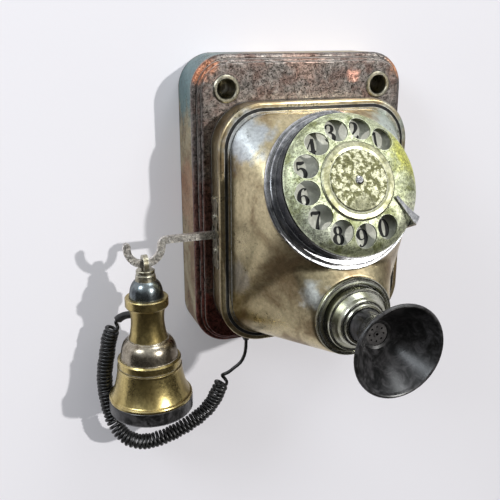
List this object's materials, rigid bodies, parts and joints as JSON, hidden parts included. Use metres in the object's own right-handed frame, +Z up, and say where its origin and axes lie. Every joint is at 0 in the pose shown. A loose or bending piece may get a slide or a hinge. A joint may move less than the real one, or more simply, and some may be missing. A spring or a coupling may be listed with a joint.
{
  "type": "wall telephone",
  "caption": "Wall telephone: flat back box, domed front housing with tilted rotary dial and mouthpiece horn, and a receiver hung by its ring on a sprung hook lever.",
  "frame": {"origin": "centre of the back of the box, on the wall", "axes": "+X to the right seen from the room, -Y out of the wall, +Z up"},
  "size_m": [0.2248, 0.1722, 0.272],
  "materials": {
    "box_brass": "aged satin, olive with a blue-green bloom at a corner",
    "face_bronze": "dull, pitted, with bright worn edges",
    "housing_brass": "satin, mottled brown, polished rim",
    "eyelet_brass": "satin, worn bright on the rims",
    "plate_steel": "plain",
    "nickel": "worn polish",
    "black_enamel": "gloss",
    "cream_enamel": "gloss, aged cream",
    "wheel_brass": "satin, speckled patina",
    "boss_brass": "satin, greenish speckle",
    "receiver_brass": "antique satin, olive gold",
    "gunmetal": "dark blued gloss",
    "hook_steel": "worn satin",
    "black_bakelite": "gloss, grey with wear inside the horn",
    "black_rubber": "semi-gloss",
    "spring_steel": "blued",
    "phenolic": "brown",
    "winding": "enamelled copper wire under varnish",
    "capsule_aluminium": "plain",
    "gear_brass": "clean"
  },
  "bodies": {
    "case": {"back_box": "box_brass", "bezel_neck": "black_enamel", "capacitor": "capsule_aluminium", "carbon_chamber": "phenolic", "case_screws": "plate_steel", "cord_curly": "black_rubber", "cord_gland": "black_rubber", "cord_straight": "black_rubber", "dial_bezel": "nickel", "dial_frame": "plate_steel", "dial_spring": "spring_steel", "escutcheon": "eyelet_brass", "escutcheon_screws": "eyelet_brass", "face_cover": "face_bronze", "finger_stop": "nickel", "flange_gasket": "black_rubber", "front_housing": "housing_brass", "gong_left": "gear_brass", "gong_right": "gear_brass", "gong_screws": "plate_steel", "governor_cup": "gear_brass", "induction_coil": "winding", "lever_bracket": "plate_steel", "lever_pin": "hook_steel", "lever_spring": "spring_steel", "mouthpiece_horn": "black_bakelite", "number_plate": "cream_enamel", "pulse_contacts": "phenolic", "ringer_coils": "winding", "ringer_frame": "plate_steel", "switch_contacts": "phenolic", "terminal_block": "phenolic", "terminal_screws": "eyelet_brass", "throat_disc": "black_bakelite", "transmitter_capsule": "capsule_aluminium", "transmitter_collar": "boss_brass", "transmitter_diaphragm": "capsule_aluminium", "wall_eyelets": "eyelet_brass", "wall_plate": "plate_steel"},
    "receiver": {"receiver_loop": "eyelet_brass", "receiver_nut": "eyelet_brass", "receiver_dome": "gunmetal", "receiver_handle": "receiver_brass", "receiver_shoulder": "receiver_brass", "receiver_bell": "receiver_brass", "ear_cap": "black_bakelite", "receiver_diaphragm": "spring_steel", "receiver_magnet": "spring_steel", "receiver_coils": "winding", "receiver_relief": "black_rubber"},
    "hook": {"hook_lever": "hook_steel"},
    "pusher": {"switch_pusher": "phenolic"},
    "dial": {"finger_wheel": "wheel_brass", "hub_ring": "boss_brass", "label_disc": "boss_brass", "hub_screw": "nickel", "drive_gear": "gear_brass"},
    "pulse": {"pulse_cam": "gear_brass"},
    "governor": {"governor_rotor": "gear_brass"},
    "clapper": {"clapper": "spring_steel"}
  },
  "joints": [
    {"name": "receiver_lift", "type": "slide", "parent": "case", "child": "receiver", "axis": [0, 0, 1], "range_m": [0, 0.009]},
    {"name": "hook_switch", "type": "hinge", "parent": "case", "child": "hook", "pos_m": [-0.042, -0.045, -0.0153], "axis": [0, 1, 0], "range_deg": [0, 7.2]},
    {"name": "switch_push", "type": "slide", "parent": "case", "child": "pusher", "axis": [0, 0, -1], "range_m": [0, 0.002]},
    {"name": "dial_turn", "type": "hinge", "parent": "case", "child": "dial", "pos_m": [0, -0.1144, 0.0298], "axis": [0, 0.9107, -0.4131], "range_deg": [0, 320], "stiffness_Nm_per_rad": 0.012, "springref_deg": -114.59},
    {"name": "pulse_turn", "type": "hinge", "parent": "case", "child": "pulse", "pos_m": [-0.01912, -0.11697, 0.02414], "axis": [0, 0.9107, -0.4131], "range_deg": [-1281, 0]},
    {"name": "governor_turn", "type": "hinge", "parent": "case", "child": "governor", "pos_m": [0.01912, -0.11697, 0.02414], "axis": [0, 0.9107, -0.4131], "range_deg": [-1281, 0]},
    {"name": "clapper_swing", "type": "hinge", "parent": "case", "child": "clapper", "pos_m": [0, -0.015, 0.018], "axis": [0, 1, 0], "range_deg": [-3.5, 3.5], "stiffness_Nm_per_rad": 0.01}
  ],
  "couplings": [
    {"joint": "hook_switch", "follows": "receiver_lift", "rad_per_m": 13.81},
    {"joint": "switch_push", "follows": "receiver_lift", "ratio": 0.21},
    {"joint": "pulse_turn", "follows": "dial_turn", "ratio": -4},
    {"joint": "governor_turn", "follows": "dial_turn", "ratio": -4}
  ]
}
